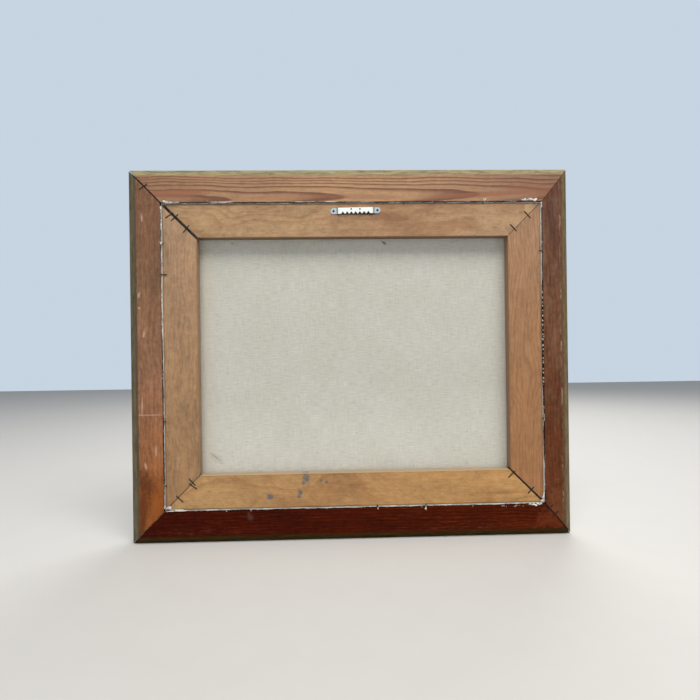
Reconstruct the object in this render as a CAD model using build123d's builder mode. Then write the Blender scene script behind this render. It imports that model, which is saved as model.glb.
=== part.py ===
from build123d import *
from math import atan2, cos, radians, sin, tan
import os

# A stretched canvas in a vintage wooden picture frame, in millimetres.
# For someone looking at the back, +X is right, +Z is up and +Y runs away, towards the painted face.
# The origin is the middle notch of the sawtooth hanger, in the plane of the frame's back, which meets
# the wall.

# ---- Driving dimensions -------------------------------------------------------------------------------

# Stretched canvas
canvas_width = 508.0  # over the stretcher bars
canvas_height = 406.4
canvas_thickness = 0.8  # cloth, priming and paint
bar_width = 45.0
bar_thickness = 17.5  # at the bead that carries the canvas
bar_bevel = 2.8  # thinning from the bead to the bars' inner edge
bead_width = 5.0
bead_rise = 1.2  # bead over the bevel beside it
bar_easing = 0.8  # rounding of the bars' long edges
stretcher_recess = 2.5  # back of the bars below the back of the frame

# Frame moulding; the four rails are planed to their own widths, and the pattern is drawn wider or
# narrower with them, so that it meets across each mitre
rail_widths = {"top": 44.7, "right": 36.2, "bottom": 42.7, "left": 43.2}  # outer side to rabbet wall
pattern_width = 43.2  # rail width at which the sizes below hold
chamfer_width = 9.2
chamfer_depth = 7.5
lip_width = 6.5
lip_thickness = 4.0
sight_bead_width = 3.6
sight_bead_height = 1.6
liner_flat = 5.0  # flat between the sight bead and the scoop
ridge_inner = 17.0  # ridge's shoulders, from the outer side
ridge_outer = 4.0
ridge_drop = 1.5  # shoulders below the ridge's top
ridge_height = 7.0  # ridge's top in front of the lip
front_side_drop = 5.5  # ridge's top to where the outer side turns into the front
rail_easing = 0.5
rabbet_clearance = 1.0  # canvas to rabbet wall, on each side
seat_clearance = 0.2  # canvas to the lip in front of it
corner_rounding = 2.0

# Mitre gaps, at the outer end and at the inner end
frame_gaps = {
    "top_left": (1.1, 0.8),
    "top_right": (0.5, 0.4),
    "bottom_right": (1.2, 0.3),
    "bottom_left": (0.5, 0.4),
}
stretcher_gaps = {
    "top_left": (2.6, 1.9),
    "top_right": (0.6, 0.5),
    "bottom_right": (1.8, 1.5),
    "bottom_left": (0.6, 0.8),
}

# Sawtooth hanger
hanger_length = 67.0
hanger_height = 8.0
hanger_sheet = 0.8
hanger_tilt = 1.0  # degrees, right end up
hanger_drop = 9.8  # top of the bars to the hanger's nail line
hanger_offset = 3.2  # hanger's middle to the right of the canvas's middle
raised_length = 49.5
raised_gap = 1.5  # space behind the raised middle for the wall nail
joggle_length = 2.0
notch_count = 7
notch_pitch = 5.7
notch_mouth = 4.6
notch_depth = 3.1
hanger_nail_pitch = 59.0
peep_hole_pitch = 11.6
peep_hole_diameter = 1.5
peep_hole_rise = 1.9  # above the nail line

# Wire, nails and brads
mitre_staple_crown = 12.7
canvas_staple_crown = 10.0
canvas_staple_spacing = 55.0
canvas_staple_margin = 40.0  # corner to the nearest staple
staple_wire_width = 1.4
staple_wire_thickness = 0.7
staple_leg = 9.0
hanger_nail_shank = 1.3
hanger_nail_head = 3.0
hanger_nail_rim = 0.4
hanger_nail_dome = 0.3
hanger_nail_length = 11.0
hanger_nail_clearance = 0.15
corner_nail_shank = 2.0
corner_nail_head = 3.2
corner_nail_rim = 1.0
corner_nail_length = 38.0
corner_nail_insets = {"level": 14.0, "upright": 24.0}  # corner to nail, by the rail it is driven through
corner_nail_depths = {"level": 12.0, "upright": 18.0}  # back of the frame to nail
nail_point = 3.0
brad_diameter = 1.2
brad_length = 14.0
brad_clearance = 0.05

# Staples over the mitres: share of the mitre from its outer end, offset towards the level piece, and
# turn from square across the mitre, in degrees, anticlockwise for someone looking at the back
stretcher_staples = {
    "top_left": [(0.27, -3.6, -11), (0.38, -0.9, -2), (0.715, -1.2, 6)],
    "top_right": [(0.374, 0.8, -3), (0.787, 2.3, -3)],
    "bottom_right": [(0.377, 0.8, 2), (0.912, 3.5, -1)],
    "bottom_left": [(0.365, 2.7, 3), (0.745, 3.5, 9), (0.797, -1.2, -1)],
}
frame_staples = {
    "top_left": [(0.515, -0.9, -10)],
    "bottom_right": [(0.66, -0.4, 5), (0.86, 0.3, 3)],
}

# Brads: share of the side's length from its middle, positive to the right or up, and the length that
# lies over the back of the bar
brad_places = {
    "top": [(0.135, 1.5), (0.346, 1.5)],
    "right": [(0.34, 2.0), (-0.22, 1.5)],
    "bottom": [(0.183, 1.5), (0.054, 1.5)],
    "left": [(0.371, 1.0), (0.27, 5.5), (-0.21, 2.0), (-0.42, 2.0)],
}

# ---- Places worked out from them ----------------------------------------------------------------------

right_hand = Vector(1, 0, 0)
forward = Vector(0, 1, 0)  # into the depth of the frame
up = Vector(0, 0, 1)
inward = {"top": -up, "right": -right_hand, "bottom": up, "left": right_hand}

# Each side runs clockwise, for someone looking at the back, from its first corner to its second
side_corners = {
    "top": ("top_left", "top_right"),
    "right": ("top_right", "bottom_right"),
    "bottom": ("bottom_right", "bottom_left"),
    "left": ("bottom_left", "top_left"),
}

opening_gap = canvas_thickness + rabbet_clearance
rabbet_depth = stretcher_recess + bar_thickness + canvas_thickness + seat_clearance
sight_depth = rabbet_depth + lip_thickness
frame_thickness = sight_depth + ridge_height
nail_line = hanger_height / 2 - notch_depth  # above the notch in the middle


def moved_out(edges, distances):
    """Four edges, each moved outwards by its own distance."""
    return {
        "left": edges["left"] - distances["left"],
        "right": edges["right"] + distances["right"],
        "bottom": edges["bottom"] - distances["bottom"],
        "top": edges["top"] + distances["top"],
    }


stretcher = {
    "left": -hanger_offset - canvas_width / 2,
    "right": -hanger_offset + canvas_width / 2,
    "bottom": nail_line + hanger_drop - canvas_height,
    "top": nail_line + hanger_drop,
}
canvas_outside = moved_out(stretcher, dict.fromkeys(stretcher, canvas_thickness))
bar_inside = moved_out(stretcher, dict.fromkeys(stretcher, -bar_width))
rabbet = moved_out(stretcher, dict.fromkeys(stretcher, opening_gap))
frame_outside = moved_out(rabbet, rail_widths)


def corner_point(edges, corner):
    level, upright = corner.split("_")
    return Vector(edges[upright], 0, edges[level])


def middle(edges, y):
    return Vector((edges["left"] + edges["right"]) / 2, y, (edges["bottom"] + edges["top"]) / 2)


def turned(direction, degrees):
    """A direction in the plane of the back, turned anticlockwise for someone looking at the back."""
    angle = radians(degrees)
    x = direction.X * cos(angle) - direction.Z * sin(angle)
    z = direction.X * sin(angle) + direction.Z * cos(angle)
    return Vector(x, 0, z)


def square_to(direction, run):
    """The part of a direction that is square to a run."""
    return (direction - run * direction.dot(run)).normalized()


def mitre_cut(outer_end, inner_end, gap, into):
    """Plane half a gap beside a mitre line, its normal pointing into the piece it cuts."""
    across = square_to(into, (inner_end - outer_end).normalized())
    start = outer_end + across * (gap[0] / 2)
    end = inner_end + across * (gap[1] / 2)
    along = (end - start).normalized()
    return Plane(origin=start, x_dir=along, z_dir=square_to(across, along))


def side_layout(side, outer_edges, inner_edges, gaps):
    """Section plane at a side's first corner, the side's length, and its two mitre cuts."""
    first, second = side_corners[side]
    start = corner_point(outer_edges, first)
    end = corner_point(outer_edges, second)
    run = (end - start).normalized()
    section = Plane(origin=start, x_dir=inward[side], z_dir=run)
    first_cut = mitre_cut(start, corner_point(inner_edges, first), gaps[first], run)
    second_cut = mitre_cut(end, corner_point(inner_edges, second), gaps[second], -run)
    return section, (end - start).length, first_cut, second_cut


def finish(part, name):
    """Name a piece and write it."""
    part.label = name
    export_step(part, f"parts/{name}.step")


# ---- Fasteners ----------------------------------------------------------------------------------------


def staples(places, crown):
    """Wire staples, half sunk; each place has x along the crown and z out of the wood."""
    half_wire = staple_wire_thickness / 2
    with BuildPart() as wires:
        for place in places:
            bend = Plane(origin=place.origin, x_dir=place.x_dir, z_dir=place.x_dir.cross(place.z_dir))
            with BuildSketch(bend):
                with Locations((0, half_wire)):
                    height = staple_wire_thickness + staple_leg
                    Rectangle(crown, height, align=(Align.CENTER, Align.MAX))
                fillet(vertices().group_by(Axis.Y)[-1], half_wire)
                with Locations((0, -half_wire)):
                    inside = crown - 2 * staple_wire_thickness
                    Rectangle(inside, staple_leg, align=(Align.CENTER, Align.MAX), mode=Mode.SUBTRACT)
            extrude(amount=staple_wire_width / 2, both=True)
    return wires.part


def nails(places, shank, head, rim, dome, length):
    """Nails with flat or domed heads; each place is under its head, with z out of the wood."""
    with BuildPart() as driven:
        for place in places:
            profile = Plane(origin=place.origin, x_dir=place.x_dir, z_dir=place.x_dir.cross(place.z_dir))
            with BuildSketch(profile):
                with BuildLine():
                    Polyline(
                        (0, rim + dome),
                        (0, -length),
                        (shank / 2, nail_point - length),
                        (shank / 2, 0),
                        (head / 2, 0),
                        (head / 2, rim),
                    )
                    if dome:
                        Bezier((head / 2, rim), (head / 3, rim + dome), (0, rim + dome))
                    else:
                        Line((head / 2, rim), (0, rim))
                make_face()
            revolve(axis=Axis(place.origin, place.z_dir))
    return driven.part


def mitre_staple_places(corner, outer_edges, inner_edges, y, places):
    """Places of the staples over one mitre of the frame or of the stretcher."""
    outer_end = corner_point(outer_edges, corner)
    mitre = corner_point(inner_edges, corner) - outer_end
    upright = corner.split("_")[1]
    to_level = square_to(inward[upright], mitre.normalized())
    for share, offset, turn in places:
        origin = outer_end + mitre * share + to_level * offset + forward * y
        yield Plane(origin=origin, x_dir=turned(to_level, turn), z_dir=-forward)


def canvas_staple_places(side):
    """Places of the staples through the canvas into one bar's outer side, at even steps."""
    first, second = (corner_point(canvas_outside, corner) for corner in side_corners[side])
    run = (second - first).normalized()
    span = (second - first).length - 2 * canvas_staple_margin
    steps = round(span / canvas_staple_spacing)
    for step in range(steps + 1):
        origin = first + run * (canvas_staple_margin + span * step / steps)
        origin += forward * (stretcher_recess + bar_thickness / 2)
        yield Plane(origin=origin, x_dir=run, z_dir=-inward[side])


def corner_nail_places(corner):
    """Places of the two nails that cross in one mitre of the frame."""
    level, upright = corner.split("_")
    for kind, driven_side, other_side in (("level", level, upright), ("upright", upright, level)):
        origin = corner_point(frame_outside, corner) + inward[other_side] * corner_nail_insets[kind]
        origin += inward[driven_side] * corner_nail_rim + forward * corner_nail_depths[kind]
        yield Plane(origin=origin, x_dir=forward, z_dir=-inward[driven_side])


def brads(side):
    """Headless brads through one rabbet wall, lying over the back of the bar."""
    first, second = (corner_point(stretcher, corner) for corner in side_corners[side])
    centre = (first + second) / 2
    positive = right_hand if side in ("top", "bottom") else up
    y = stretcher_recess - brad_diameter / 2 - brad_clearance
    with BuildPart() as pins:
        for share, over_bar in brad_places[side]:
            origin = centre + positive * (share * (second - first).length)
            origin += inward[side] * over_bar + forward * y
            with BuildSketch(Plane(origin=origin, x_dir=forward, z_dir=-inward[side])):
                Circle(brad_diameter / 2)
            extrude(amount=brad_length)
    return pins.part


frame_staple_groups = {
    corner: staples(mitre_staple_places(corner, frame_outside, rabbet, 0, places), mitre_staple_crown)
    for corner, places in frame_staples.items()
}
stretcher_staple_groups = {
    corner: staples(
        mitre_staple_places(corner, stretcher, bar_inside, stretcher_recess, places), mitre_staple_crown
    )
    for corner, places in stretcher_staples.items()
}
canvas_staple_groups = {
    side: staples(canvas_staple_places(side), canvas_staple_crown) for side in side_corners
}
corner_nail_groups = {
    corner: nails(
        corner_nail_places(corner),
        corner_nail_shank,
        corner_nail_head,
        corner_nail_rim,
        0,
        corner_nail_length,
    )
    for corner in frame_gaps
}
brad_groups = {side: brads(side) for side in side_corners}

# ---- Sawtooth hanger ----------------------------------------------------------------------------------

hanger_run = turned(right_hand, hanger_tilt)
hanger_up = turned(up, hanger_tilt)
bar_back = forward * stretcher_recess
hanger_face = Plane(origin=bar_back, x_dir=hanger_run, z_dir=-forward)
hanger_section = Plane(origin=bar_back - hanger_up * notch_depth, x_dir=hanger_run, z_dir=hanger_up)
# A bend's outer face starts this much further along than its inner face, so the sheet stays even
bend_shift = hanger_sheet * tan(atan2(raised_gap, joggle_length) / 2)

with BuildPart() as sawtooth_hanger:
    with BuildSketch(hanger_section):
        with BuildLine():
            Polyline(
                (0, -raised_gap),
                (raised_length / 2 - joggle_length, -raised_gap),
                (raised_length / 2, 0),
                (hanger_length / 2, 0),
                (hanger_length / 2, -hanger_sheet),
                (raised_length / 2 + bend_shift, -hanger_sheet),
                (raised_length / 2 - joggle_length + bend_shift, -raised_gap - hanger_sheet),
                (0, -raised_gap - hanger_sheet),
                close=True,
            )
        make_face()
        mirror(about=Plane.YZ)
    extrude(amount=hanger_height)
    with BuildSketch(hanger_face):
        with Locations((0, nail_line)):
            SlotOverall(hanger_length, hanger_height)
        with Locations((0, -notch_depth)):
            with GridLocations(notch_pitch, 0, notch_count, 1):
                notch = ((-notch_mouth / 2, 0), (notch_mouth / 2, 0), (0, notch_depth))
                Polygon(*notch, align=None, mode=Mode.SUBTRACT)
        with Locations((0, nail_line)):
            with GridLocations(hanger_nail_pitch, 0, 2, 1):
                Circle(hanger_nail_shank / 2 + hanger_nail_clearance, mode=Mode.SUBTRACT)
        with Locations((0, nail_line + peep_hole_rise)):
            with GridLocations(peep_hole_pitch, 0, 2, 1):
                Circle(peep_hole_diameter / 2, mode=Mode.SUBTRACT)
    extrude(amount=raised_gap + hanger_sheet, mode=Mode.INTERSECT)

hanger_nails = {}
for side, sign in (("left", -1), ("right", 1)):
    seat = bar_back + hanger_up * nail_line + hanger_run * (sign * hanger_nail_pitch / 2)
    seat -= forward * hanger_sheet
    hanger_nails[side] = nails(
        [Plane(origin=seat, x_dir=hanger_run, z_dir=-forward)],
        hanger_nail_shank,
        hanger_nail_head,
        hanger_nail_rim,
        hanger_nail_dome,
        hanger_nail_length,
    )

# ---- Canvas: one cloth over the bars' front, turned down their sides ------------------------------------

with BuildPart() as canvas:
    with BuildSketch(Plane(origin=middle(stretcher, stretcher_recess), x_dir=right_hand, z_dir=forward)):
        Rectangle(canvas_width + 2 * canvas_thickness, canvas_height + 2 * canvas_thickness)
    extrude(amount=bar_thickness + canvas_thickness)
    fillet(faces().sort_by(Axis.Y)[-1].edges(), bar_easing + canvas_thickness)
    offset(amount=-canvas_thickness, openings=faces().sort_by(Axis.Y)[0])
    add(list(canvas_staple_groups.values()), mode=Mode.SUBTRACT)

# ---- Stretcher bars and frame rails -------------------------------------------------------------------


def stretcher_bar(side):
    """Bar with a flat back, a bead under the canvas's edge and a bevel away from the canvas."""
    section, length, first_cut, second_cut = side_layout(side, stretcher, bar_inside, stretcher_gaps)
    with BuildPart() as bar:
        with BuildSketch(Plane(origin=section.origin + bar_back, x_dir=section.x_dir, z_dir=section.z_dir)):
            with BuildLine():
                Polyline(
                    (0, 0),
                    (bar_width, 0),
                    (bar_width, bar_thickness - bar_bevel),
                    (bead_width, bar_thickness - bead_rise),
                    (bead_width - bead_rise, bar_thickness),
                    (0, bar_thickness),
                    close=True,
                )
            make_face()
            eased = vertices().group_by(Axis.X)[0] + vertices().group_by(Axis.X)[-1]
            fillet(eased, bar_easing)
        extrude(amount=length)
        split(bisect_by=first_cut)
        split(bisect_by=second_cut)
        add([stretcher_staple_groups[corner] for corner in side_corners[side]], mode=Mode.SUBTRACT)
        add(canvas_staple_groups[side], mode=Mode.SUBTRACT)
        if side == "top":
            add(list(hanger_nails.values()), mode=Mode.SUBTRACT)
    return bar.part


def frame_rail(side):
    """Rail with a chamfered back, a rabbet, and a sight bead, scoop and ridge on its front."""
    section, length, first_cut, second_cut = side_layout(side, frame_outside, rabbet, frame_gaps)
    stretch = rail_widths[side] / pattern_width
    wall = rail_widths[side]
    sight = (pattern_width + lip_width) * stretch
    bead_end = sight - sight_bead_width * stretch
    scoop_start = bead_end - liner_flat * stretch
    bead_top = sight_depth + sight_bead_height
    shoulder = frame_thickness - ridge_drop
    ridge_top = frame_thickness + ridge_drop / 3
    with BuildPart() as rail:
        with BuildSketch(section):
            with BuildLine():
                Polyline(
                    (0, frame_thickness - front_side_drop),
                    (0, chamfer_depth),
                    (chamfer_width * stretch, 0),
                    (wall, 0),
                    (wall, rabbet_depth),
                    (sight, rabbet_depth),
                    (sight, sight_depth),
                )
                Bezier((sight, sight_depth), (sight, bead_top), (bead_end, bead_top))
                Polyline((bead_end, bead_top), (bead_end, sight_depth), (scoop_start, sight_depth))
                Bezier(
                    (scoop_start, sight_depth),
                    (scoop_start - (scoop_start - ridge_inner * stretch) / 2, sight_depth),
                    (ridge_inner * stretch * 1.25, sight_depth + (shoulder - sight_depth) / 3),
                    (ridge_inner * stretch, shoulder),
                )
                Bezier(
                    (ridge_inner * stretch, shoulder),
                    ((ridge_inner * 2 + ridge_outer) / 3 * stretch, ridge_top),
                    ((ridge_inner + ridge_outer * 2) / 3 * stretch, ridge_top),
                    (ridge_outer * stretch, shoulder),
                )
                Line((ridge_outer * stretch, shoulder), (0, frame_thickness - front_side_drop))
            make_face()
        extrude(amount=length)
        split(bisect_by=first_cut)
        split(bisect_by=second_cut)
        with BuildSketch(Plane(origin=middle(frame_outside, 0), x_dir=right_hand, z_dir=forward)):
            frame_width = frame_outside["right"] - frame_outside["left"]
            frame_height = frame_outside["top"] - frame_outside["bottom"]
            RectangleRounded(frame_width, frame_height, corner_rounding)
        extrude(amount=frame_thickness, mode=Mode.INTERSECT)
        fillet(edges().filter_by(lambda edge: on_rabbet_edge(edge, section, wall)), rail_easing)
        add([corner_nail_groups[corner] for corner in side_corners[side]], mode=Mode.SUBTRACT)
        held = [frame_staple_groups[corner] for corner in side_corners[side] if corner in frame_staple_groups]
        if held:
            add(held, mode=Mode.SUBTRACT)
        add(brad_groups[side], mode=Mode.SUBTRACT)
    return rail.part


def on_rabbet_edge(edge, section, wall):
    """True for the edge where the back meets the rabbet wall."""
    place = section.to_local_coords(edge.center())
    return abs(place.X - wall) < 0.01 and abs(place.Y) < 0.01


# ---- Written pieces -----------------------------------------------------------------------------------

os.makedirs("parts", exist_ok=True)
for side in side_corners:
    finish(frame_rail(side), f"frame_rail_{side}")
    finish(stretcher_bar(side), f"stretcher_bar_{side}")
    finish(canvas_staple_groups[side], f"canvas_staples_{side}")
    finish(brad_groups[side], f"retaining_brads_{side}")
for corner in frame_gaps:
    finish(stretcher_staple_groups[corner], f"stretcher_staples_{corner}")
    finish(corner_nail_groups[corner], f"corner_nails_{corner}")
for corner, group in frame_staple_groups.items():
    finish(group, f"frame_staples_{corner}")
for side, nail in hanger_nails.items():
    finish(nail, f"hanger_nail_{side}")
finish(canvas.part, "canvas")
finish(sawtooth_hanger.part, "sawtooth_hanger")
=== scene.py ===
# %% [markdown]
# # The back of a framed, stretched canvas
# A stretched canvas is cloth pulled over four mitred pine bars. This one sits in the rabbet of a vintage
# picture frame, and a sawtooth hanger is nailed to its top bar. We look at the side that faces the wall.
# The woodwork and the metal come from a packed CAD model, which stays exactly where it is. This lesson
# gives every part its finish, replaces the plain canvas with a real sheet of cloth, and adds what years
# leave behind: cut threads, crumbs of primer and dirt in the joints. Some light and shade is painted into
# the finishes too: in the open joints, under the hanger, on the bars' inner sides, in the rabbet, on the
# chamfers, on the hanger and on the lower canvas.

# %% Load the frame
import math
import random

import bmesh
import bpy
from mathutils import Matrix, Vector, noise


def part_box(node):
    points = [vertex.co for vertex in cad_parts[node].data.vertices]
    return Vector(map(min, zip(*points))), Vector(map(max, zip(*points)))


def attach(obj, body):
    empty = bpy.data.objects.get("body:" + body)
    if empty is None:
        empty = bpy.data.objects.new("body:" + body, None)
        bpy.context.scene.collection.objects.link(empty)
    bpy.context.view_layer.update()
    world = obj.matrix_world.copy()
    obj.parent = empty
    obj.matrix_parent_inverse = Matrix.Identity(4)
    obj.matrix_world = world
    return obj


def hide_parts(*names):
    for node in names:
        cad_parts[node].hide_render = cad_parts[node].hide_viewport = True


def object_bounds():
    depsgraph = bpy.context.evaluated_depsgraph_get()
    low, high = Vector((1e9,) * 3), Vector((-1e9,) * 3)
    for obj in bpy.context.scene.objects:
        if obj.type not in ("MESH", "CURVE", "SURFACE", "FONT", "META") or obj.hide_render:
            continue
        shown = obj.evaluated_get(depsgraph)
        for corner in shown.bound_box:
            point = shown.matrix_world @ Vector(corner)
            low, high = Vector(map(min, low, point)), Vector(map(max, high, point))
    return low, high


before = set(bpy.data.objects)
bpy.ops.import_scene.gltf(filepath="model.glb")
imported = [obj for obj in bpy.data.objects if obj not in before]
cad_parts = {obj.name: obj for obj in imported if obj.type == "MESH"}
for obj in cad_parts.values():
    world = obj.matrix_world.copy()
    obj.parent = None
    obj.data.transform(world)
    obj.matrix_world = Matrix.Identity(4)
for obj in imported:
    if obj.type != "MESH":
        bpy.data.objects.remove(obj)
cad_low, cad_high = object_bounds()
print("CAD nodes:", len(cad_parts))

# %% [markdown]
# ## Measuring from the model
# Every place in this file is worked out from the CAD nodes' boxes, so nothing floats when a size changes.
# The boxes come in metres and are turned into millimetres, which suit a hand-sized object better.
# `edges_of` joins the boxes of several nodes, such as the four rails, into one outline.

# %% Outlines in millimetres
MM = 0.001
SIDES = ("top", "right", "bottom", "left")


def edges_of(*names):
    """Left, right, back, front, bottom and top of some CAD nodes together, in millimetres."""
    lows, highs = zip(*(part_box(name) for name in names))
    low = [min(corner[axis] for corner in lows) / MM for axis in range(3)]
    high = [max(corner[axis] for corner in highs) / MM for axis in range(3)]
    return dict(zip(("left", "back", "bottom"), low)) | dict(zip(("right", "front", "top"), high))


rails = edges_of(*(f"frame_rail_{side}" for side in SIDES))
bars = edges_of(*(f"stretcher_bar_{side}" for side in SIDES))
cloth = edges_of("canvas")
hanger = edges_of("sawtooth_hanger")
top_bar = edges_of("stretcher_bar_top")
BAR_WIDTH = top_bar["top"] - top_bar["bottom"]
BAR_THICKNESS = bars["front"] - bars["back"]
CLOTH_THICKNESS = bars["left"] - cloth["left"]
print("frame:", {name: round(value, 1) for name, value in rails.items()})
print("stretcher:", {name: round(value, 1) for name, value in bars.items()})

# %% [markdown]
# ## Camera
# The viewer stands a good arm's length behind the back, level with the middle of the canvas and a hand's
# width to its left, looking almost straight at it. A wide lens at this distance makes the near edges of the
# rails look gently larger than the far ones. A roll of less than a degree keeps the view from looking
# stiff.

# %% Camera
CAMERA_DISTANCE = 702.1
CAMERA_LEFT = 28.7  # of the stretcher's middle
CAMERA_RISE = 6.5  # above the stretcher's middle
CAMERA_YAW = math.radians(1.79)  # to the right
CAMERA_ROLL = math.radians(0.75)
CAMERA_LENS = 27.0
SENSOR_WIDTH = 36.0

camera = bpy.data.objects.new("camera", bpy.data.cameras.new("camera"))
bpy.context.scene.collection.objects.link(camera)
bpy.context.scene.camera = camera
camera.data.lens = CAMERA_LENS
camera.data.sensor_width = SENSOR_WIDTH
middle = Vector(((bars["left"] + bars["right"]) / 2, 0, (bars["bottom"] + bars["top"]) / 2))
camera.location = (middle + Vector((-CAMERA_LEFT, -CAMERA_DISTANCE, CAMERA_RISE))) * MM
look = Matrix.Rotation(-CAMERA_YAW, 4, "Z") @ Matrix.Rotation(math.pi / 2, 4, "X")
camera.matrix_world = Matrix.Translation(camera.location) @ look @ Matrix.Rotation(-CAMERA_ROLL, 4, "Z")
print("camera at", [round(value, 4) for value in camera.matrix_world.translation])

# %% [markdown]
# ## Light
# The frame stands in a plain pale room lit by a large soft source high above the viewer. Light from above
# is what draws this object: it throws the top bar's shadow on the canvas, darkens the bars' undersides and
# brightens the ledge at the bottom. The world fills the shadows a little. Seen directly it is brighter than
# the light it gives, as a lit wall behind an object is, and the Light Path node tells the two uses apart.

# %% Light
LIGHTS = {  # place, width and height in metres, watts and tint
    "ceiling_light": ((0.3, -1.45, 2.3), 2.4, 1.3, 96.0, (1.0, 0.97, 0.92)),
    "room_fill": ((-0.5, -2.4, 0.1), 1.6, 1.2, 8.0, (0.97, 0.98, 1.0)),
    "front_light": ((0.5, 1.5, 1.1), 1.5, 1.2, 22.0, (1.0, 0.98, 0.95)),
}
ROOM_GLOW = (0.27, 0.30, 0.34, 1)  # what the room throws on the object
ROOM_SEEN = (0.57, 0.66, 0.76, 1)  # what the room looks like


def add_panel(name, place, width, height, watts, tint):
    """A rectangular soft light that faces the middle of the canvas."""
    panel = bpy.data.lights.new(name, "AREA")
    panel.shape = "RECTANGLE"
    panel.size = width
    panel.size_y = height
    panel.energy = watts
    panel.color = tint
    holder = bpy.data.objects.new(name, panel)
    bpy.context.scene.collection.objects.link(holder)
    holder.location = place
    holder.rotation_mode = "QUATERNION"
    holder.rotation_quaternion = (middle * MM - Vector(place)).to_track_quat("-Z", "Y")


for name, settings in LIGHTS.items():
    add_panel(name, *settings)

# Sockets of a Mix node that mixes colours
MIX_AMOUNT, MIX_FIRST, MIX_SECOND, MIX_RESULT = 0, 6, 7, 2
bpy.context.scene.view_settings.view_transform = "Standard"
world = bpy.data.worlds.new("room")
world.use_nodes = True
bpy.context.scene.world = world
background = world.node_tree.nodes["Background"]
seen = world.node_tree.nodes.new("ShaderNodeLightPath")
backdrop = world.node_tree.nodes.new("ShaderNodeMix")
backdrop.data_type = "RGBA"
backdrop.inputs[MIX_FIRST].default_value = ROOM_GLOW
backdrop.inputs[MIX_SECOND].default_value = ROOM_SEEN
world.node_tree.links.new(seen.outputs["Is Camera Ray"], backdrop.inputs[MIX_AMOUNT])
world.node_tree.links.new(backdrop.outputs[MIX_RESULT], background.inputs["Color"])
print("lights:", list(LIGHTS))

# %% [markdown]
# ## A small language for finishes
# A finish is a graph of shader nodes. Written node by node it is hard to read, so `Wire` wraps an output
# and lets numbers over a surface be added and multiplied like Python numbers: each operator adds one Math
# node. The reflected forms let a plain number stand on the left, as in `1 - mask`.


# %% Wire
class Wire:
    """An output of a finish's nodes."""

    def __init__(self, finish, socket):
        self.finish = finish
        self.socket = socket

    def maths(self, operation, *values):
        return self.finish.node("ShaderNodeMath", {"operation": operation}, dict(enumerate((self, *values))))

    def __add__(self, other):
        return self.maths("ADD", other)

    def __sub__(self, other):
        return self.maths("SUBTRACT", other)

    def __rsub__(self, other):
        return self.finish.node("ShaderNodeMath", {"operation": "SUBTRACT"}, {0: other, 1: self})

    def __mul__(self, other):
        return self.maths("MULTIPLY", other)

    def __truediv__(self, other):
        return self.maths("DIVIDE", other)

    def __pow__(self, other):
        return self.maths("POWER", other)

    __radd__ = __add__
    __rmul__ = __mul__

    def smooth(self, low, high):
        """0 below low, 1 above high, and a smooth step between; low may be the larger one."""
        settings = {"interpolation_type": "SMOOTHSTEP"}
        sockets = {"Value": self, "From Min": low, "From Max": high}
        return self.finish.node("ShaderNodeMapRange", settings, sockets)

    def band(self, low, high, blur):
        """1 between low and high, fading over blur on both sides."""
        return self.smooth(low - blur, low + blur) * self.smooth(high + blur, high - blur)

    def most(self, other):
        return self.maths("MAXIMUM", other)


print("a number may stand to the left of a wire in:", [name for name in vars(Wire) if name.startswith("__r")])

# %% [markdown]
# `Finish` is one material. It makes every other node through one method, `node`, and gives the patterns
# that return on every surface: clouds of noise, specks, and an oval patch with an uneven edge. Colours go
# through Mix and Vector Math nodes, because a Math node would turn them grey. Distances inside a finish are
# millimetres in the object's own frame, so a pattern has its real size on every piece.


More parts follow.
